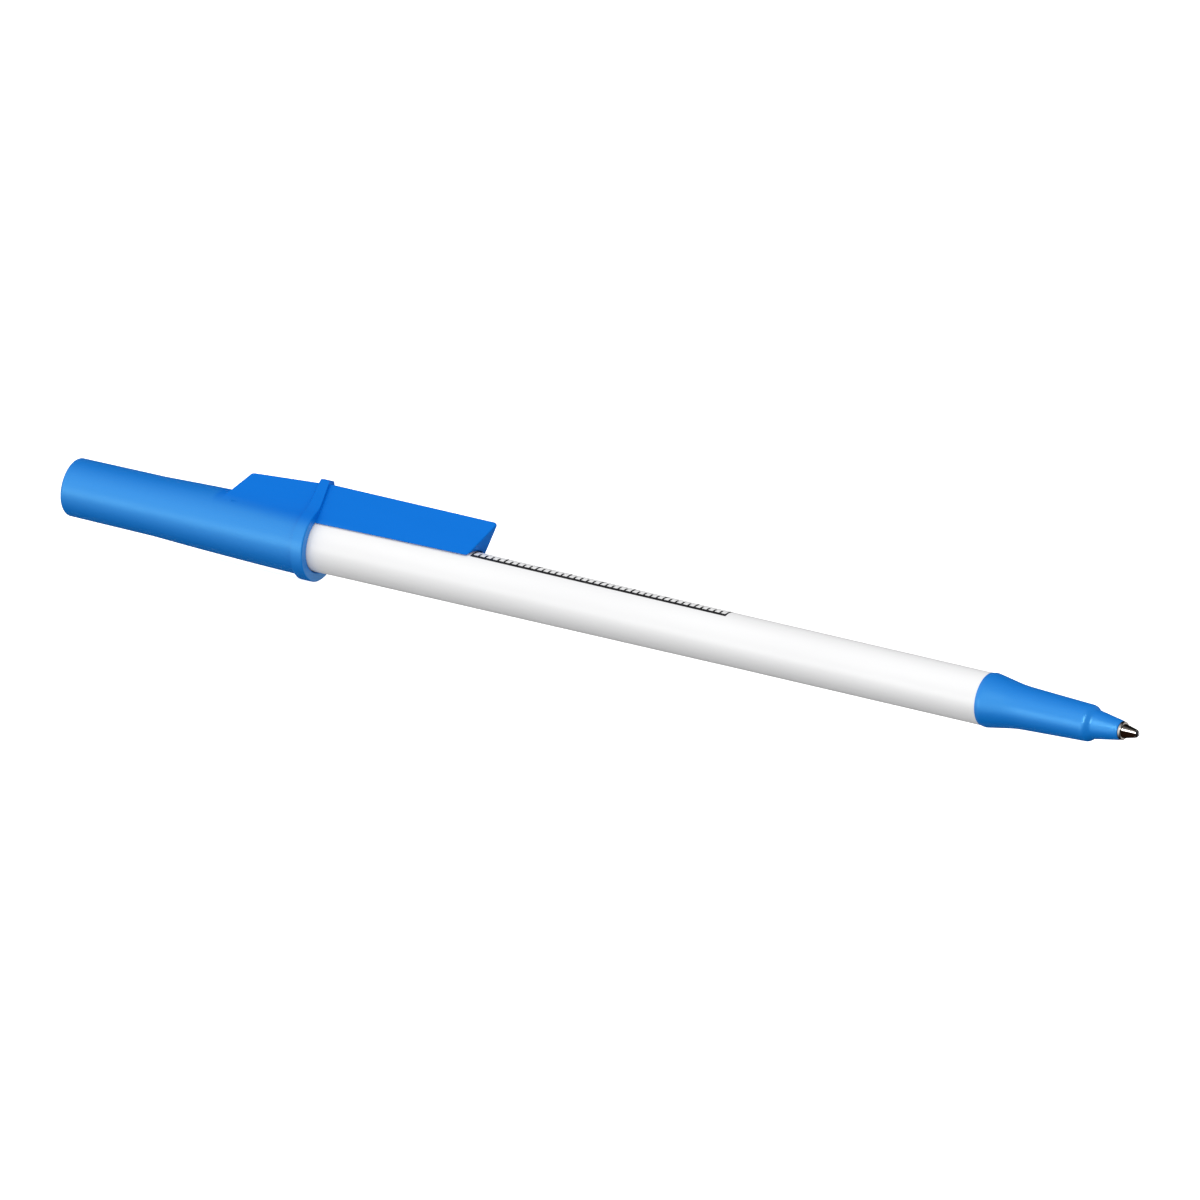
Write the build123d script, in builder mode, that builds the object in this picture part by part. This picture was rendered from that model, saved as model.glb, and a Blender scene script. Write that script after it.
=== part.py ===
from build123d import *
import os
from math import cos, radians, sqrt, tan

# Stick ballpoint pen with its cap posted on the rear of the barrel.
# The pen lies along X, with the writing point at +X and the pocket clip at +Z.
# The origin is on the pen's axis, midway along the straight grip. Sizes are in millimetres.

# Barrel
grip_r = 3.66
grip_length = 38.1
post_r = 3.85
post_length = 15.0
barrel_length = 118.35
barrel_bore_r = 2.75
barrel_rear_round = 0.3

# Cap body
cap_length = 39.25
post_depth = 13.37
tail_r = 4.05
tail_round = 0.45
flare_length = 25.62
waist_r = 4.15
flare_r = 4.78
flare_crown = 0.095
cap_end_wall = 1.0
tail_bore_r = 3.2
vent_r = 1.0
mouth_chamfer = 0.2

# Band round the mouth of the cap
band_r = 5.27
band_width = 1.75
band_slope = 0.3
band_proud = 0.42
band_rise = 0.5
band_lean_angle = 5.0
band_lean_z = 4.4
band_edge_round = 0.2
band_sink = 0.06
band_top_round = 0.3

# Pocket clip, a wedge-shaped fin moulded with the cap
ridge_z = 8.18
ridge_rear_z = 7.34
ridge_rear_run = 12.2
ridge_half_width = 0.4
draw_in_angle = 0.55
ridge_round = 0.2
arm_edge_round = 0.2
ramp_angle = 55.5
ramp_round = 0.6
flank_angle = 25.0
fin_root_r = 5.0
clip_reach = 26.06
end_slant = 25.5
end_round = 0.4
clip_gap = 0.17
fin_base_z = 2.0

# Nose cone
nose_rim_width = 0.65
nose_crown = 0.13
nose_crown_r = 1.2
nose_waist_x = 5.17
nose_waist_r = 3.013
nose_waist_blend = 18.0
shoulder_x = 16.25
shoulder_r = 2.54
shoulder_round = 1.0
step_length = 0.75
step_r = 2.02
step_blend = 0.6
nose_length = 20.9
nose_end_r = 1.35
nose_end_round = 0.12
spigot_length = 7.0
spigot_lead = 0.4

# Writing point
collar_r = 1.28
collar_width = 0.5
collar_round = 0.12
point_base_r = 1.0
lip_r = 0.57
ball_r = 0.5
ball_reach = 2.25
lip_reach = 0.12
shank_r = 0.98
shank_length = 11.9
feed_r = 0.3

# Ink
tube_wall = 0.5
tube_seat_depth = 6.9
tube_rear_gap = 15.35
ink_fill_share = 0.88

# Plug in the rear of the barrel
plug_head_r = 3.05
plug_head = 0.8
plug_head_round = 0.35
plug_length = 5.0
plug_wall = 0.75
plug_vent_r = 0.4

# Clearances, and how far a cut runs past what it cuts
fit_clearance = 0.02
post_clearance = 0.05
stop_gap = 0.05
ball_clearance = 0.02
overrun = 1.0

# Places along the pen's axis
junction_x = grip_length / 2
grip_rear_x = junction_x - grip_length
barrel_rear_x = junction_x - barrel_length
mouth_x = barrel_rear_x + post_depth
tail_x = mouth_x - cap_length
waist_x = mouth_x - flare_length
band_x = mouth_x - band_width
band_foot_x = band_x - band_slope
nose_end_x = junction_x + nose_length
collar_x = nose_end_x + collar_width
ball_x = nose_end_x + ball_reach
shank_rear_x = nose_end_x - shank_length
tube_front_x = nose_end_x - tube_seat_depth
tube_rear_x = barrel_rear_x + plug_length + tube_rear_gap

tube_bore_r = shank_r + fit_clearance
tube_r = tube_bore_r + tube_wall
tube_seat_r = tube_r + fit_clearance
spigot_r = barrel_bore_r - fit_clearance
cup_r = ball_r + ball_clearance
post_bore_r = post_r + post_clearance
arch_r = post_r + clip_gap
band_foot_r = flare_r - band_sink
lean_top_z = ridge_z + band_rise + band_top_round
lean_back = (lean_top_z - band_lean_z) * tan(radians(band_lean_angle))

os.makedirs("parts", exist_ok=True)


# Barrel: straight grip, slow taper, and a straight rear end that the cap is pushed on
with BuildPart() as barrel:
    with BuildSketch(Plane.XZ):
        with BuildLine():
            Polyline(
                (junction_x, barrel_bore_r),
                (junction_x, grip_r),
                (grip_rear_x, grip_r),
                (barrel_rear_x + post_length, post_r),
                (barrel_rear_x, post_r),
                (barrel_rear_x, barrel_bore_r),
                close=True,
            )
        make_face()
    revolve(axis=Axis.X)
    rear_face = barrel.faces().sort_by(Axis.X)[0]
    fillet(rear_face.edges().sort_by(SortBy.RADIUS)[-1], barrel_rear_round)
barrel.part.label = "barrel"
export_step(barrel.part, "parts/barrel.step")


# Nose cone: crowned rim, two tapers, a rounded shoulder, and a hollow spigot in the barrel
with BuildPart() as nose_cone:
    with BuildSketch(Plane.XZ):
        with BuildLine():
            FilletPolyline(
                (junction_x - spigot_length, tube_seat_r),
                (junction_x - spigot_length, spigot_r),
                (junction_x, spigot_r),
                (junction_x, grip_r),
                (junction_x + nose_rim_width, grip_r + nose_crown),
                (junction_x + nose_waist_x, nose_waist_r),
                (junction_x + shoulder_x, shoulder_r),
                (junction_x + shoulder_x + step_length, step_r),
                (nose_end_x, nose_end_r),
                (nose_end_x, tube_bore_r),
                (tube_front_x, tube_bore_r),
                (tube_front_x, tube_seat_r),
                radius=[
                    0,
                    spigot_lead,
                    0,
                    0,
                    nose_crown_r,
                    nose_waist_blend,
                    shoulder_round,
                    step_blend,
                    nose_end_round,
                    0,
                    0,
                    0,
                ],
                close=True,
            )
        make_face()
    revolve(axis=Axis.X)
nose_cone.part.label = "nose_cone"
export_step(nose_cone.part, "parts/nose_cone.step")


# Metal point: shank in the nose and the tube, collar, cone, and the cup that holds the ball
lip_x = ball_x + lip_reach
lip_bore_r = sqrt(cup_r**2 - lip_reach**2)
cup_rear_x = ball_x - sqrt(cup_r**2 - feed_r**2)
with BuildPart() as point_socket:
    with BuildSketch(Plane.XZ):
        with BuildLine():
            FilletPolyline(
                (cup_rear_x, feed_r),
                (shank_rear_x, feed_r),
                (shank_rear_x, shank_r),
                (nose_end_x, shank_r),
                (nose_end_x, collar_r),
                (collar_x, collar_r),
                (collar_x, point_base_r),
                (lip_x, lip_r),
                (lip_x, lip_bore_r),
                radius=[0, 0, 0, collar_round, collar_round, 0, 0],
            )
            ThreePointArc((lip_x, lip_bore_r), (ball_x, cup_r), (cup_rear_x, feed_r))
        make_face()
    revolve(axis=Axis.X)
point_socket.part.label = "point_socket"
export_step(point_socket.part, "parts/point_socket.step")


# Writing ball
with BuildPart() as ball:
    with BuildSketch(Plane.XZ):
        with BuildLine():
            ThreePointArc((ball_x - ball_r, 0), (ball_x, ball_r), (ball_x + ball_r, 0))
            Line((ball_x + ball_r, 0), (ball_x - ball_r, 0))
        make_face()
    revolve(axis=Axis.X)
ball.part.label = "ball"
export_step(ball.part, "parts/ball.step")


# Ink tube, from its seat in the nose towards the rear of the barrel
with BuildPart() as ink_tube:
    with BuildSketch(Plane.YZ.offset(tube_rear_x)):
        Circle(tube_r)
        Circle(tube_bore_r, mode=Mode.SUBTRACT)
    extrude(amount=tube_front_x - tube_rear_x)
ink_tube.part.label = "ink_tube"
export_step(ink_tube.part, "parts/ink_tube.step")


# Ink, from the rear of the point's shank to its level in the tube
ink_room = shank_rear_x - tube_rear_x
with BuildPart() as ink_column:
    with BuildSketch(Plane.YZ.offset(shank_rear_x)):
        Circle(tube_bore_r - fit_clearance)
    extrude(amount=-ink_room * ink_fill_share)
ink_column.part.label = "ink_column"
export_step(ink_column.part, "parts/ink_column.step")


# Rear plug: a cup pushed in the barrel, with a small head and an air hole
with BuildPart() as end_plug:
    with BuildSketch(Plane.XZ):
        with BuildLine():
            FilletPolyline(
                (barrel_rear_x - plug_head, plug_vent_r),
                (barrel_rear_x - plug_head, plug_head_r),
                (barrel_rear_x, plug_head_r),
                (barrel_rear_x, spigot_r),
                (barrel_rear_x + plug_length, spigot_r),
                (barrel_rear_x + plug_length, spigot_r - plug_wall),
                (barrel_rear_x, spigot_r - plug_wall),
                (barrel_rear_x, plug_vent_r),
                radius=[0, plug_head_round, 0, 0, 0, 0, 0, 0],
                close=True,
            )
        make_face()
    revolve(axis=Axis.X)
end_plug.part.label = "end_plug"
export_step(end_plug.part, "parts/end_plug.step")


# Cap body, as turned on a lathe: a straight tail, then a crowned flare to the mouth
lathe_plane = Plane((0, 0, 0), x_dir=(1, 0, 0), z_dir=(0, 1, 0))
with BuildPart() as cap_body:
    with BuildSketch(lathe_plane):
        with BuildLine():
            Polyline(
                (mouth_x, flare_r),
                (mouth_x, 0),
                (tail_x, 0),
                (tail_x, tail_r),
                (waist_x, waist_r),
            )
            SagittaArc((waist_x, waist_r), (mouth_x, flare_r), flare_crown)
        make_face()
    revolve(axis=Axis.X)
    fillet(cap_body.faces().sort_by(Axis.X)[0].edges(), tail_round)


# Clip: the flanks lean in towards the ridge, and draw together towards the free end
under_z = -flare_r - overrun
ramp_share = tan(radians(ramp_angle))
ramp_top_x = mouth_x - ridge_rear_run
ramp_foot_x = ramp_top_x - (ridge_rear_z - under_z) / ramp_share
ridge_share = (ridge_z - ridge_rear_z) / ridge_rear_run
fin_rear_z = ridge_z - (mouth_x - ramp_foot_x) * ridge_share
clip_end_x = mouth_x + clip_reach
end_base_x = clip_end_x - ridge_z * tan(radians(end_slant))
draw_in_share = tan(radians(draw_in_angle))
flank_share = tan(radians(flank_angle))
wedge_run = ridge_z * flank_share + overrun


def half_width(x, z):
    """Half the width between the clip's flanks at a place along the pen and a height."""
    return ridge_half_width + (mouth_x - x) * draw_in_share + (ridge_z - z) * flank_share


def clip_wedge(rear_x, front_x):
    """Long wedge between the clip's two flanks, from a base inside the cap to the ridge."""
    rear_half = half_width(rear_x, fin_base_z)
    front_half = half_width(front_x, fin_base_z)
    with BuildPart() as wedge:
        with BuildSketch(Plane.XY.offset(fin_base_z)):
            with BuildLine():
                Polyline(
                    (rear_x, -rear_half),
                    (front_x, -front_half),
                    (front_x, front_half),
                    (rear_x, rear_half),
                    close=True,
                )
            make_face()
        extrude(amount=ridge_z - fin_base_z, taper=flank_angle)
    return wedge.part


# Rear of the clip, before it joins the cap: a fin whose ridge climbs to the mouth
with BuildPart() as plain_fin:
    add(clip_wedge(ramp_foot_x - wedge_run, mouth_x + wedge_run))
    with BuildSketch(Plane.XZ):
        with BuildLine():
            Polyline(
                (ramp_foot_x, 0),
                (ramp_foot_x, fin_rear_z),
                (mouth_x, ridge_z),
                (mouth_x, 0),
                close=True,
            )
        make_face()
    extrude(amount=half_width(ramp_foot_x, 0), both=True, mode=Mode.INTERSECT)
    ridge = plain_fin.faces().sort_by(Axis.Z)[-1]
    fillet(ridge.edges() - plain_fin.edges().filter_by(Axis.Y), ridge_round)

# The fin on the cap: flanks that run smoothly into the flare, cut across by a ramp at the rear
with BuildPart() as fin:
    add(cap_body.part)
    split(bisect_by=Plane.YZ.offset(ramp_foot_x), keep=Keep.TOP)
    add(plain_fin.part)
    root_edges = fin.edges(Select.NEW).sort_by(SortBy.LENGTH)[-2:]
    fillet(root_edges, fin_root_r)
    with BuildSketch(Plane.XZ):
        with BuildLine():
            FilletPolyline(
                (ramp_foot_x, under_z),
                (ramp_top_x, ridge_rear_z),
                (mouth_x, ridge_z),
                (mouth_x, under_z),
                radius=[0, ramp_round, 0, 0],
                close=True,
            )
        make_face()
    extrude(amount=-under_z, both=True, mode=Mode.INTERSECT)

# Free arm of the clip: a level ridge and a slanted end, arched underneath to clear the barrel
with BuildPart() as clip_arm:
    add(clip_wedge(band_x - wedge_run, clip_end_x + wedge_run))
    with BuildSketch(Plane.XZ):
        with BuildLine():
            FilletPolyline(
                (band_x, 0),
                (band_x, ridge_z),
                (clip_end_x, ridge_z),
                (end_base_x, 0),
                radius=[0, 0, end_round, 0],
                close=True,
            )
        make_face()
    extrude(amount=half_width(band_x, 0), both=True, mode=Mode.INTERSECT)
    base_edges = clip_arm.faces().sort_by(Axis.Z)[0].edges()
    rear_edges = clip_arm.faces().sort_by(Axis.X)[0].edges()
    crosswise_edges = clip_arm.edges().filter_by(Axis.Y)
    fillet(clip_arm.edges() - base_edges - rear_edges - crosswise_edges, arm_edge_round)
    with BuildSketch(Plane.YZ.offset(band_x)):
        Circle(arch_r)
    extrude(amount=clip_end_x - band_x, mode=Mode.SUBTRACT)


def band_section(x, ring_r, proud, rise):
    """Outline of the cap and its fin at x, standing proud of the fin's flanks and above its ridge."""
    top_z = ridge_z + rise
    top_half = half_width(x, top_z) + proud / cos(radians(flank_angle))
    base_half = top_half + top_z * flank_share
    with BuildSketch(Plane.YZ.offset(x)) as section:
        Circle(ring_r)
        with BuildLine():
            Polyline(
                (-base_half, 0),
                (base_half, 0),
                (top_half, top_z),
                (-top_half, top_z),
                close=True,
            )
        make_face()
        root_corners = section.vertices().filter_by(lambda v: 0 < v.Y < top_z and abs(v.X) > top_half)
        fillet(root_corners, fin_root_r - proud)
        fillet(section.vertices().group_by(Axis.Y)[-1], band_top_round)
    return section.sketch


# Band round the mouth, over the fin as well: a slope at the rear, then a rim that leans back on the fin
foot_section = band_section(band_foot_x, band_foot_r, 0, 0)
rim_section = band_section(band_x, band_r, band_proud, band_rise)
with BuildPart() as band:
    extrude(rim_section, amount=band_width, dir=(1, 0, 0))
    front_edges = band.faces().sort_by(Axis.X)[-1].edges()
    fillet(front_edges, band_edge_round)
    loft(sections=[foot_section, rim_section])
    with BuildSketch(Plane.XZ):
        with BuildLine():
            Polyline(
                (mouth_x, band_lean_z),
                (mouth_x, lean_top_z),
                (mouth_x - lean_back, lean_top_z),
                close=True,
            )
        make_face()
    extrude(amount=band_r, both=True, mode=Mode.SUBTRACT)


# Cap: body, fin, band and clip, hollow from the mouth to a shoulder that stops the barrel
stop_x = barrel_rear_x - stop_gap
with BuildPart() as cap:
    add(cap_body.part)
    add(fin.part)
    add(band.part)
    add(clip_arm.part)
    with BuildSketch(lathe_plane):
        with BuildLine():
            FilletPolyline(
                (mouth_x, 0),
                (mouth_x, post_bore_r + mouth_chamfer),
                (mouth_x - mouth_chamfer, post_bore_r),
                (stop_x, post_bore_r),
                (stop_x, tail_bore_r),
                (tail_x + cap_end_wall, tail_bore_r),
                (tail_x + cap_end_wall, vent_r),
                (tail_x - overrun, vent_r),
                (tail_x - overrun, 0),
                radius=[0, 0, 0, 0, 0, tail_round, 0, 0, 0],
                close=True,
            )
        make_face()
    revolve(axis=Axis.X, mode=Mode.SUBTRACT)
cap.part.label = "cap"
export_step(cap.part, "parts/cap.step")
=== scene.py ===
from math import cos, radians, sin

import bmesh
import bpy
from mathutils import Matrix, Vector


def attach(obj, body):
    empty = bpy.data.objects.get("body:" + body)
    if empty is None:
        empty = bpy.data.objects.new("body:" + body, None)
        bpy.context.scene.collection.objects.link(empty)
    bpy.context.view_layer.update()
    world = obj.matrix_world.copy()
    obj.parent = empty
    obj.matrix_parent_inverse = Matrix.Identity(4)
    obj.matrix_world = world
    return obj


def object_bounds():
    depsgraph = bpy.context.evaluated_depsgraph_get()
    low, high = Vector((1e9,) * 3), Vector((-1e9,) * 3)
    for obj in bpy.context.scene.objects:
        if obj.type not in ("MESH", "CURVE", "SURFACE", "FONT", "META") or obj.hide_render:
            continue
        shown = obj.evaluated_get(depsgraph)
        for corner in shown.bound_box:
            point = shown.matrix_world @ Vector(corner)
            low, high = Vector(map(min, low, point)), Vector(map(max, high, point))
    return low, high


# Looks of the stick ballpoint pen: plastics, metal point, print on the barrel, studio and camera.

MM = 0.001
WHITE = (1.0, 1.0, 1.0, 1.0)

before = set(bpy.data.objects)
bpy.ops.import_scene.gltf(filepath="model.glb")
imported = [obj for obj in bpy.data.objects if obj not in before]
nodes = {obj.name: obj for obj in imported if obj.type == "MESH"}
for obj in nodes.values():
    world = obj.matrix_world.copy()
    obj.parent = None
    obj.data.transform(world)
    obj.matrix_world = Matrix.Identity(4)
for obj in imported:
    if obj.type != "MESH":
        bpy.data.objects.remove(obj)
cad_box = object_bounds()

# Photograph's view: the pen's turn away from the picture, the camera's height and its roll
VIEW_AZIMUTH = 28.43
VIEW_ELEVATION = 2.5
VIEW_ROLL = radians(13.097)
VIEW_CENTRE = Vector((-42.15, 0.0, 1.17)) * MM
VIEW_WIDTH = 162.16 * MM
LENS = 1600.0
SENSOR = 36.0
NEAREST_SEEN = 0.1
FURTHEST_SEEN = 50.0


# Materials
EVEN = (1.0, 1.0, 1.0)
FLOW = {"scale": 260.0, "detail": 4.0, "stretch": (0.12, 1.0, 1.0)}
GLOSS = {"scale": 900.0, "detail": 5.0, "stretch": (0.4, 1.0, 1.0)}
SKIN = {"scale": 2600.0, "detail": 2.0, "stretch": EVEN}
SKIN_STRENGTH = 0.5
TURNED_RINGS = {"scale": 9000.0, "detail": 2.0, "stretch": (1.0, 0.02, 0.02)}
TURNED_DEPTH = 0.001 * MM
TURNED_STRENGTH = 0.4
POLISH = {"scale": 3000.0, "detail": 3.0, "stretch": EVEN}
TINT_FROM = 0.3
TINT_TO = 0.7
MATT_ROUGHNESS = 0.9
# Places of the Mix node's sockets for colours
MIX_AMOUNT, MIX_FIRST, MIX_SECOND, MIX_RESULT = 0, 6, 7, 2


def new_material(name):
    """A material with an empty node tree but for its output, and a Principled shader joined to it."""
    material = bpy.data.materials.new(name)
    material.use_nodes = True
    tree = material.node_tree
    tree.nodes.clear()
    output = tree.nodes.new("ShaderNodeOutputMaterial")
    shader = tree.nodes.new("ShaderNodeBsdfPrincipled")
    tree.links.new(shader.outputs["BSDF"], output.inputs["Surface"])
    return material, tree, shader


def object_noise(tree, scale, detail, stretch):
    """Noise on Object coordinates, stretched along the pen where asked."""
    coordinates = tree.nodes.new("ShaderNodeTexCoord")
    mapping = tree.nodes.new("ShaderNodeMapping")
    mapping.inputs["Scale"].default_value = stretch
    noise = tree.nodes.new("ShaderNodeTexNoise")
    noise.inputs["Scale"].default_value = scale
    noise.inputs["Detail"].default_value = detail
    tree.links.new(coordinates.outputs["Object"], mapping.inputs["Vector"])
    tree.links.new(mapping.outputs["Vector"], noise.inputs["Vector"])
    return noise.outputs["Fac"]


def tint(tree, source, colours):
    """Colour between two near tints, by a value."""
    node = tree.nodes.new("ShaderNodeValToRGB")
    for element, place, colour in zip(node.color_ramp.elements, (TINT_FROM, TINT_TO), colours):
        element.position = place
        element.color = (*colour, 1.0)
    tree.links.new(source, node.inputs["Fac"])
    return node.outputs["Color"]


def spread(tree, source, low, high):
    """Value spread over low to high."""
    node = tree.nodes.new("ShaderNodeMapRange")
    node.inputs["To Min"].default_value = low
    node.inputs["To Max"].default_value = high
    tree.links.new(source, node.inputs["Value"])
    return node


def bump(tree, shader, source, distance, strength):
    """Fine relief on a surface."""
    node = tree.nodes.new("ShaderNodeBump")
    node.inputs["Distance"].default_value = distance
    node.inputs["Strength"].default_value = strength
    tree.links.new(source, node.inputs["Height"])
    tree.links.new(node.outputs["Normal"], shader.inputs["Normal"])


def moulded_plastic(name, colours, rough, specular, grain):
    """Injection-moulded plastic: slight streaks of colour along the pen, uneven gloss and a fine skin."""
    material, tree, shader = new_material(name)
    tree.links.new(tint(tree, object_noise(tree, **FLOW), colours), shader.inputs["Base Color"])
    roughness = spread(tree, object_noise(tree, **GLOSS), *rough)
    tree.links.new(roughness.outputs["Result"], shader.inputs["Roughness"])
    bump(tree, shader, object_noise(tree, **SKIN), grain, SKIN_STRENGTH)
    shader.inputs["Specular IOR Level"].default_value = specular
    return material


def turned_metal(name, colours, rough):
    """Turned metal: fine rings round the pen's axis, and uneven polish."""
    material, tree, shader = new_material(name)
    bump(tree, shader, object_noise(tree, **TURNED_RINGS), TURNED_DEPTH, TURNED_STRENGTH)
    polish = object_noise(tree, **POLISH)
    roughness = spread(tree, polish, *rough)
    tree.links.new(roughness.outputs["Result"], shader.inputs["Roughness"])
    tree.links.new(tint(tree, polish, colours), shader.inputs["Base Color"])
    shader.inputs["Metallic"].default_value = 1.0
    return material


def matt_paint(name, colour):
    """Matt paint of one colour, for what stands round the pen."""
    material, tree, shader = new_material(name)
    shader.inputs["Base Color"].default_value = colour
    shader.inputs["Roughness"].default_value = MATT_ROUGHNESS
    shader.inputs["Specular IOR Level"].default_value = 0.0
    return material, shader


# Clip's flanks, where shade is painted on the cap: where they start above the cap's body, on a line that
# climbs with the clip, and behind
CLIP_SKEW = 0.04
CLIP_MIDDLE_X = -87.0 * MM
CLIP_LOW = 1.5 * MM + CLIP_SKEW * CLIP_MIDDLE_X
CLIP_HIGH = 3.6 * MM + CLIP_SKEW * CLIP_MIDDLE_X
RAMP_FOOT_X = -101.6 * MM
RAMP_FADE = 0.7 * MM


def dull_on_clip(material, colours, specular):
    """Paints shade on the clip's drafted flanks, from the fin's ramp forward: a darker base colour there,
    and a lower specular level that makes them duller.
    """
    tree = material.node_tree
    shader = tree.nodes["Principled BSDF"]
    coordinates = tree.nodes.new("ShaderNodeTexCoord")
    height = tree.nodes.new("ShaderNodeVectorMath")
    height.operation = "DOT_PRODUCT"
    height.inputs[1].default_value = (CLIP_SKEW, 0.0, 1.0)
    tree.links.new(coordinates.outputs["Object"], height.inputs[0])
    above = spread(tree, height.outputs["Value"], 0.0, 1.0)
    above.inputs["From Min"].default_value = CLIP_LOW
    above.inputs["From Max"].default_value = CLIP_HIGH
    above.interpolation_type = "SMOOTHSTEP"
    place = tree.nodes.new("ShaderNodeSeparateXYZ")
    tree.links.new(coordinates.outputs["Object"], place.inputs[0])
    ahead = spread(tree, place.outputs["X"], 0.0, 1.0)
    ahead.inputs["From Min"].default_value = RAMP_FOOT_X - RAMP_FADE
    ahead.inputs["From Max"].default_value = RAMP_FOOT_X
    clip_shade_mask = tree.nodes.new("ShaderNodeMath")
    clip_shade_mask.operation = "MULTIPLY"
    tree.links.new(above.outputs["Result"], clip_shade_mask.inputs[0])
    tree.links.new(ahead.outputs["Result"], clip_shade_mask.inputs[1])
    # Painted shade: the base colour turns to a darker blue on the clip's flanks
    mix = tree.nodes.new("ShaderNodeMix")
    mix.data_type = "RGBA"
    tree.links.new(clip_shade_mask.outputs[0], mix.inputs[MIX_AMOUNT])
    tree.links.new(shader.inputs["Base Color"].links[0].from_socket, mix.inputs[MIX_FIRST])
    tree.links.new(tint(tree, object_noise(tree, **FLOW), colours), mix.inputs[MIX_SECOND])
    tree.links.new(mix.outputs[MIX_RESULT], shader.inputs["Base Color"])
    body_specular = shader.inputs["Specular IOR Level"].default_value
    gleam = spread(tree, clip_shade_mask.outputs[0], body_specular, specular)
    tree.links.new(gleam.outputs["Result"], shader.inputs["Specular IOR Level"])


BLUE_GLEAM = (0.4, 1.0, 1.0, 1.0)

white_plastic = moulded_plastic(
    "white_plastic", [(0.80, 0.80, 0.805), (0.83, 0.83, 0.835)], (0.28, 0.36), 0.3, 0.003 * MM
)
blue_plastic = moulded_plastic(
    "blue_plastic", [(0.001, 0.170, 0.622), (0.002, 0.180, 0.652)], (0.33, 0.4), 1.0, 0.004 * MM
)
# Painted shade on the clip's flanks: a darker blue there, and a lower specular level
dull_on_clip(blue_plastic, [(0.001, 0.141, 0.586), (0.002, 0.149, 0.614)], 0.1)
nose_plastic = moulded_plastic(
    "nose_plastic", [(0.001, 0.170, 0.620), (0.002, 0.180, 0.650)], (0.31, 0.38), 0.8, 0.004 * MM
)
for material in (blue_plastic, nose_plastic):
    material.node_tree.nodes["Principled BSDF"].inputs["Specular Tint"].default_value = BLUE_GLEAM
clear_plastic = moulded_plastic(
    "clear_plastic", [(0.80, 0.83, 0.85), (0.86, 0.88, 0.89)], (0.15, 0.25), 0.5, 0.002 * MM
)
ink = moulded_plastic("ink", [(0.004, 0.012, 0.12), (0.008, 0.02, 0.2)], (0.08, 0.15), 0.5, 0.002 * MM)
print_ink = moulded_plastic(
    "print_ink", [(0.012, 0.012, 0.014), (0.022, 0.022, 0.024)], (0.4, 0.55), 0.3, 0.002 * MM
)
point_metal = turned_metal("point_metal", [(0.34, 0.31, 0.28), (0.42, 0.39, 0.36)], (0.03, 0.07))
ball_metal = turned_metal("ball_metal", [(0.42, 0.42, 0.44), (0.55, 0.55, 0.57)], (0.05, 0.1))

node_materials = {
    "barrel": white_plastic,
    "cap": blue_plastic,
    "nose_cone": nose_plastic,
    "end_plug": blue_plastic,
    "ink_tube": clear_plastic,
    "ink_column": ink,
    "point_socket": point_metal,
    "ball": ball_metal,
}
for name, material in node_materials.items():
    node = nodes[name]
    node.data.materials.clear()
    node.data.materials.append(material)


# Print on the barrel: a plain rule in millimetres, with its edge line on the photograph's side of the clip
GRIP_R = 3.66 * MM
GRIP_REAR_X = -19.05 * MM
BARREL_RISE = 0.19 * MM
BARREL_RISE_LENGTH = 65.25 * MM
RULE_START_X = -61.8 * MM
RULE_ANGLE = radians(32.0)
RULE_TICKS = 41
TICK_STEP = 1.0 * MM
TICK_WIDTH = 0.28 * MM
TICK_LENGTH = 1.0 * MM
TICK_ROWS = 9
TICK_GROUPS = (5, 10)
GROUP_GROWTH = 0.5
EDGE_LINE = 0.5 * MM
EDGE_COLUMNS = 81
EDGE_ROWS = 4
NUMERAL_SIZE = 2.4 * MM
NUMERAL_FOOT = 2.5 * MM
NUMERAL_CUTS = 3
PRINT_PROUD = 0.012 * MM


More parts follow.
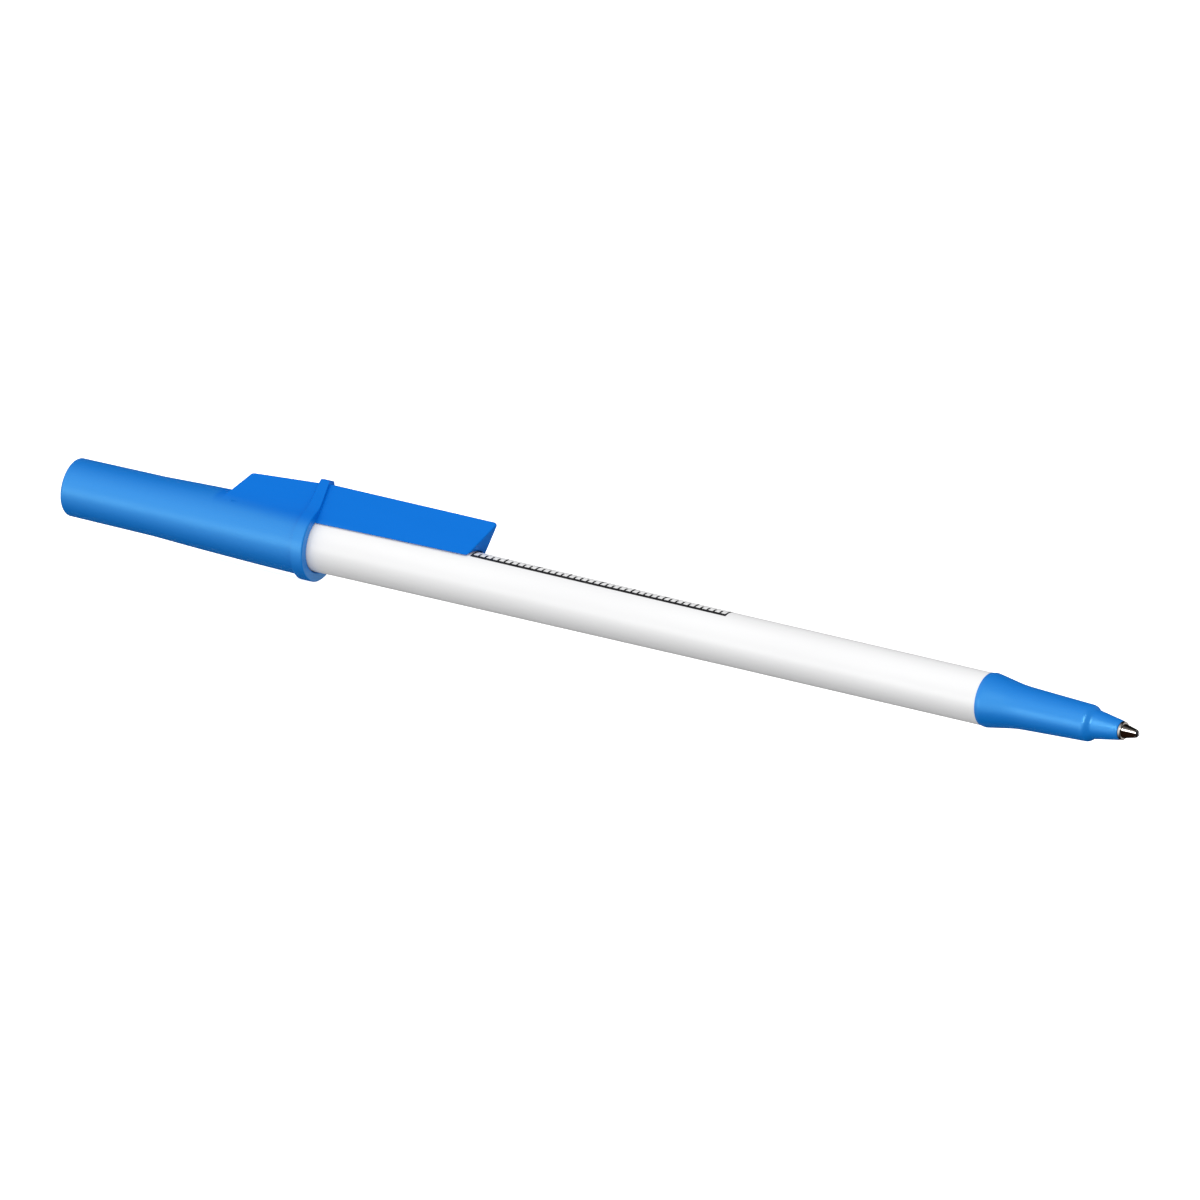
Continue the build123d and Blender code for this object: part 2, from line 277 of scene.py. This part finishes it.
class Recipe:
    """Geometry Nodes tree written a node at a time, with named sizes that the modifier sets."""

    def __init__(self, name):
        self.tree = bpy.data.node_groups.new(name, "GeometryNodeTree")
        self.tree.interface.new_socket("Geometry", in_out="OUTPUT", socket_type="NodeSocketGeometry")
        self.start = self.tree.nodes.new("NodeGroupInput")
        self.sizes = {}

    def size(self, name, value):
        """Named input for a size, a whole number where the value is one."""
        kind = "NodeSocketInt" if isinstance(value, int) else "NodeSocketFloat"
        socket = self.tree.interface.new_socket(name, in_out="INPUT", socket_type=kind)
        self.sizes[socket.identifier] = value
        return self.start.outputs[name]

    def node(self, kind, inputs, **settings):
        """Adds a node, with each input given by name or by place."""
        made = self.tree.nodes.new(kind)
        for setting, value in settings.items():
            setattr(made, setting, value)
        for place, value in inputs.items():
            if isinstance(value, bpy.types.NodeSocket):
                self.tree.links.new(value, made.inputs[place])
            else:
                made.inputs[place].default_value = value
        return made.outputs[0]

    def maths(self, operation, *values):
        return self.node("ShaderNodeMath", dict(enumerate(values)), operation=operation)

    def vector(self, x=0.0, y=0.0, z=0.0):
        return self.node("ShaderNodeCombineXYZ", {"X": x, "Y": y, "Z": z})

    def move(self, geometry, place):
        return self.node("GeometryNodeTransform", {"Geometry": geometry, "Translation": place})

    def grid(self, width, depth, columns, rows):
        return self.node(
            "GeometryNodeMeshGrid",
            {"Size X": width, "Size Y": depth, "Vertices X": columns, "Vertices Y": rows},
        )

    def join(self, pieces):
        """Joins pieces of geometry into one."""
        made = self.tree.nodes.new("GeometryNodeJoinGeometry")
        for piece in pieces:
            self.tree.links.new(piece, made.inputs[0])
        return made.outputs[0]

    def make_mesh(self, geometry, name):
        """Mesh that the recipe gives."""
        end = self.tree.nodes.new("NodeGroupOutput")
        self.tree.links.new(geometry, end.inputs[0])
        blank = bpy.data.objects.new(name + "_blank", bpy.data.meshes.new(name + "_blank"))
        bpy.context.scene.collection.objects.link(blank)
        modifier = blank.modifiers.new("recipe", "NODES")
        modifier.node_group = self.tree
        for identifier, value in self.sizes.items():
            modifier[identifier] = value
        made = blank.evaluated_get(bpy.context.evaluated_depsgraph_get())
        mesh = bpy.data.meshes.new_from_object(made)
        bpy.data.objects.remove(blank)
        mesh.name = name
        return mesh


def printed_rule():
    """Rule printed on the barrel: laid out flat with its edge line on X, then wrapped round the barrel."""
    recipe = Recipe("rule_recipe")
    tick_count = recipe.size("Tick Count", RULE_TICKS)
    tick_step = recipe.size("Tick Step", TICK_STEP)
    tick_width = recipe.size("Tick Width", TICK_WIDTH)
    tick_length = recipe.size("Tick Length", TICK_LENGTH)
    edge_line = recipe.size("Edge Line", EDGE_LINE)
    numeral_size = recipe.size("Numeral Size", NUMERAL_SIZE)
    numeral_foot = recipe.size("Numeral Foot", NUMERAL_FOOT)
    rule_start = recipe.size("Rule Start", RULE_START_X)
    rule_angle = recipe.size("Rule Angle", RULE_ANGLE)
    print_radius = recipe.size("Print Radius", GRIP_R + PRINT_PROUD)
    grip_rear = recipe.size("Grip Rear", GRIP_REAR_X)
    taper = recipe.size("Barrel Taper", BARREL_RISE / BARREL_RISE_LENGTH)

    # Ticks, longer at each fifth and longest at each tenth
    places = recipe.node("GeometryNodeMeshLine", {"Count": tick_count, "Offset": recipe.vector(tick_step)})
    index = recipe.node("GeometryNodeInputIndex", {})
    longer = 1.0
    for group in TICK_GROUPS:
        first = recipe.maths("LESS_THAN", recipe.maths("MODULO", index, float(group)), 0.5)
        longer = recipe.maths("ADD", longer, recipe.maths("MULTIPLY", first, GROUP_GROWTH))
    tick = recipe.grid(tick_width, tick_length, 2, TICK_ROWS)
    tick = recipe.move(tick, recipe.vector(y=recipe.maths("DIVIDE", tick_length, 2.0)))
    ticks = recipe.node(
        "GeometryNodeInstanceOnPoints",
        {"Points": places, "Instance": tick, "Scale": recipe.vector(1.0, longer, 1.0)},
    )
    ticks = recipe.node("GeometryNodeRealizeInstances", {"Geometry": ticks})

    # Edge line, from the first tick to the last
    rule_length = recipe.maths("MULTIPLY", tick_step, recipe.maths("SUBTRACT", tick_count, 1.0))
    edge_length = recipe.maths("ADD", rule_length, tick_width)
    edge = recipe.grid(edge_length, edge_line, EDGE_COLUMNS, EDGE_ROWS)
    edge = recipe.move(edge, recipe.vector(recipe.maths("DIVIDE", rule_length, 2.0)))

    # Numerals above the longest ticks
    pieces = [ticks, edge]
    numbered = TICK_GROUPS[-1]
    for number in range(RULE_TICKS // numbered + 1):
        numeral = recipe.node(
            "GeometryNodeStringToCurves", {"String": str(number), "Size": numeral_size}, align_x="CENTER"
        )
        numeral = recipe.node("GeometryNodeRealizeInstances", {"Geometry": numeral})
        numeral = recipe.node("GeometryNodeFillCurve", {"Curve": numeral})
        numeral = recipe.node("GeometryNodeSubdivideMesh", {"Mesh": numeral, "Level": NUMERAL_CUTS})
        along = recipe.maths("MULTIPLY", tick_step, float(numbered * number))
        pieces.append(recipe.move(numeral, recipe.vector(along, numeral_foot)))
    flat = recipe.join(pieces)

    # Wrapped on the barrel, which tapers from the grip
    split = recipe.tree.nodes.new("ShaderNodeSeparateXYZ")
    recipe.tree.links.new(recipe.node("GeometryNodeInputPosition", {}), split.inputs[0])
    along = recipe.maths("ADD", split.outputs["X"], rule_start)
    rise = recipe.maths("MULTIPLY", recipe.maths("SUBTRACT", grip_rear, along), taper)
    radius = recipe.maths("ADD", rise, print_radius)
    angle = recipe.maths("SUBTRACT", rule_angle, recipe.maths("DIVIDE", split.outputs["Y"], radius))
    away = recipe.maths("MULTIPLY", radius, recipe.maths("SINE", angle))
    up = recipe.maths("MULTIPLY", radius, recipe.maths("COSINE", angle))
    wrapped = recipe.vector(along, recipe.maths("MULTIPLY", away, -1.0), up)
    rule = recipe.node("GeometryNodeSetPosition", {"Geometry": flat, "Position": wrapped})
    rule = recipe.node("GeometryNodeSetMaterial", {"Geometry": rule, "Material": print_ink})
    piece = bpy.data.objects.new("printed_rule", recipe.make_mesh(rule, "printed_rule"))
    bpy.context.scene.collection.objects.link(piece)
    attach(piece, "pen")


printed_rule()


# Studio: a pale floor, soft light all round, soft lamps for dull light and for gloss, and a dark card
FLOOR_RADIUS = 6.0
FLOOR_SIDES = 96
FLOOR_PAINT = (0.9, 0.9, 0.9, 1.0)
FLOOR_GLOW = 0.8


def studio_floor():
    mesh = bpy.data.meshes.new("floor")
    shape = bmesh.new()
    bmesh.ops.create_circle(shape, cap_ends=True, segments=FLOOR_SIDES, radius=FLOOR_RADIUS)
    shape.to_mesh(mesh)
    shape.free()
    mesh.transform(Matrix.Translation((VIEW_CENTRE.x, 0.0, cad_box[0].z)))
    floor = bpy.data.objects.new("floor", mesh)
    bpy.context.scene.collection.objects.link(floor)
    material, shader = matt_paint("pale_floor", FLOOR_PAINT)
    shader.inputs["Emission Color"].default_value = WHITE
    shader.inputs["Emission Strength"].default_value = FLOOR_GLOW
    mesh.materials.append(material)
    floor.visible_diffuse = floor.visible_glossy = floor.visible_shadow = False


# Dark card under the point, seen in reflections alone, which gives the metal its dark lower half
CARD_REAR_X = 38.2 * MM
CARD_FRONT_X = 47.0 * MM
CARD_NEAR_EDGE = Vector((-16.0, -1.0)) * MM
CARD_FAR_EDGE = Vector((3.0, -10.0)) * MM
CARD_PAINT = (0.05, 0.022, 0.012, 1.0)


def point_card():
    near = [(x, *CARD_NEAR_EDGE) for x in (CARD_REAR_X, CARD_FRONT_X)]
    far = [(x, *CARD_FAR_EDGE) for x in (CARD_FRONT_X, CARD_REAR_X)]
    mesh = bpy.data.meshes.new("point_card")
    mesh.from_pydata(near + far, [], [(0, 1, 2, 3)])
    card = bpy.data.objects.new("point_card", mesh)
    bpy.context.scene.collection.objects.link(card)
    material, shader = matt_paint("brown_card", CARD_PAINT)
    mesh.materials.append(material)
    card.visible_camera = card.visible_diffuse = card.visible_shadow = False


# Dome's light on dull surfaces and in reflections: its brightest side in degrees, and its levels
DULL_DOME = {
    "azimuth": 10.0, "elevation": 29.0, "dark_at": -0.45, "dark": 0.05, "bright": 1.57, "fall_off": 1.0,
}
GLOSS_DOMES = (
    {"azimuth": -42.0, "elevation": 1.0, "dark_at": -0.1, "dark": 0.01, "bright": 2.15, "fall_off": 3.0},
    {"azimuth": 140.0, "elevation": 12.0, "dark_at": 0.55, "dark": 0.0, "bright": 1.1, "fall_off": 1.5},
)

# Lamps: their side in degrees, distance and size in metres, power in watts, and what they light
NOSE_MIDDLE = Vector((28.0, 0.0, 0.0)) * MM
POINT_MIDDLE = Vector((40.5, 0.0, 0.0)) * MM
PLASTICS = ("barrel", "cap", "nose_cone")
METALS = ("point_socket", "ball")
GLOSS_LAMPS = {
    "lamp_streak": {
        "azimuth": -27.0, "elevation": -19.0, "distance": 1.0, "size": 0.35, "power": 1.1,
        "pieces": PLASTICS,
    },
    "lamp_nose": {
        "azimuth": -18.0, "elevation": -28.0, "distance": 0.2, "size": 0.14, "power": 0.08,
        "middle": NOSE_MIDDLE, "pieces": PLASTICS,
    },
    "lamp_shoulder": {
        "azimuth": 4.0, "elevation": 14.0, "distance": 0.1, "size": 0.012, "height": 0.07, "power": 0.08,
        "middle": POINT_MIDDLE, "pieces": ("nose_cone",),
    },
    "lamp_point": {
        "azimuth": 4.0, "elevation": 16.0, "distance": 0.1, "size": 0.03, "power": 0.05,
        "middle": POINT_MIDDLE, "pieces": METALS,
    },
}
DULL_LAMPS = {
    "lamp_floor": {"azimuth": 208.0, "elevation": -40.0, "distance": 1.0, "size": 0.6, "power": 3.3},
    "lamp_back": {"azimuth": 208.0, "elevation": 25.0, "distance": 1.0, "size": 0.6, "power": 3.0},
}


def side(azimuth, elevation):
    """Direction from the pen towards a side of the studio, in degrees round it and above the floor."""
    a, e = radians(azimuth), radians(elevation)
    return Vector((sin(a) * cos(e), -cos(a) * cos(e), sin(e)))


def soft_lamp(
    name, azimuth, elevation, distance, size, power, middle=VIEW_CENTRE, height=None, pieces=()
):
    """Soft lamp that looks at a place on the pen from a given side, and may light some pieces alone."""
    data = bpy.data.lights.new(name, "AREA")
    data.shape = "RECTANGLE"
    data.size = size
    data.size_y = height or size
    data.energy = power
    lamp = bpy.data.objects.new(name, data)
    bpy.context.scene.collection.objects.link(lamp)
    out = side(azimuth, elevation)
    lamp.location = middle + out * distance
    lamp.rotation_euler = out.to_track_quat("Z", "Y").to_euler()
    lamp.visible_camera = False
    if pieces:
        lit = bpy.data.collections.new("lit_by_" + name)
        for piece in pieces:
            lit.objects.link(nodes[piece])
        lamp.light_linking.receiver_collection = lit
    return lamp


def dome(tree, azimuth, elevation, dark_at, dark, bright, fall_off):
    """Light that is bright on one side of the studio and falls off to dark away from it."""
    light = tree.nodes.new("ShaderNodeBackground")
    light.inputs["Color"].default_value = WHITE
    direction = tree.nodes.new("ShaderNodeTexCoord")
    facing = tree.nodes.new("ShaderNodeVectorMath")
    facing.operation = "DOT_PRODUCT"
    facing.inputs[1].default_value = side(azimuth, elevation)
    tree.links.new(direction.outputs["Generated"], facing.inputs[0])
    near = spread(tree, facing.outputs["Value"], 0.0, 1.0)
    near.inputs["From Min"].default_value = dark_at
    power = tree.nodes.new("ShaderNodeMath")
    power.operation = "POWER"
    power.inputs[1].default_value = fall_off
    tree.links.new(near.outputs["Result"], power.inputs[0])
    level = spread(tree, power.outputs["Value"], dark, bright)
    tree.links.new(level.outputs["Result"], light.inputs["Strength"])
    return light


def studio_world():
    """Soft light from the photograph's side, narrower in reflections, and white where it is seen."""
    world = bpy.data.worlds.new("studio")
    bpy.context.scene.world = world
    world.use_nodes = True
    tree = world.node_tree
    tree.nodes.clear()
    output = tree.nodes.new("ShaderNodeOutputWorld")
    seen = tree.nodes.new("ShaderNodeBackground")
    seen.inputs["Color"].default_value = WHITE
    path = tree.nodes.new("ShaderNodeLightPath")
    gloss = tree.nodes.new("ShaderNodeAddShader")
    for place, levels in enumerate(GLOSS_DOMES):
        tree.links.new(dome(tree, **levels).outputs[0], gloss.inputs[place])
    light = dome(tree, **DULL_DOME)
    for rays, other in (("Is Glossy Ray", gloss), ("Is Camera Ray", seen)):
        mix = tree.nodes.new("ShaderNodeMixShader")
        tree.links.new(path.outputs[rays], mix.inputs["Fac"])
        tree.links.new(light.outputs[0], mix.inputs[1])
        tree.links.new(other.outputs[0], mix.inputs[2])
        light = mix
    tree.links.new(light.outputs[0], output.inputs["Surface"])


studio_floor()
studio_world()
for name, values in GLOSS_LAMPS.items():
    soft_lamp(name, **values).visible_diffuse = False
for name, values in DULL_LAMPS.items():
    soft_lamp(name, **values).visible_glossy = False
point_card()


# Camera: far off with a long lens, as the photograph has almost no perspective
def photo_camera():
    data = bpy.data.cameras.new("camera")
    data.lens = LENS
    data.sensor_width = SENSOR
    data.clip_start = NEAREST_SEEN
    data.clip_end = FURTHEST_SEEN
    camera = bpy.data.objects.new("camera", data)
    bpy.context.scene.collection.objects.link(camera)
    back = side(VIEW_AZIMUTH, VIEW_ELEVATION)
    along = Vector((1, 0, 0))
    along = (along - back * along.dot(back)).normalized()
    across = back.cross(along)
    right = along * cos(VIEW_ROLL) + across * sin(VIEW_ROLL)
    up = back.cross(right)
    turn = Matrix((right, up, back)).transposed().to_4x4()
    place = Matrix.Translation(VIEW_CENTRE + back * (VIEW_WIDTH * LENS / SENSOR))
    camera.matrix_world = place @ turn
    bpy.context.scene.camera = camera


photo_camera()
bpy.context.scene.view_settings.view_transform = "Standard"
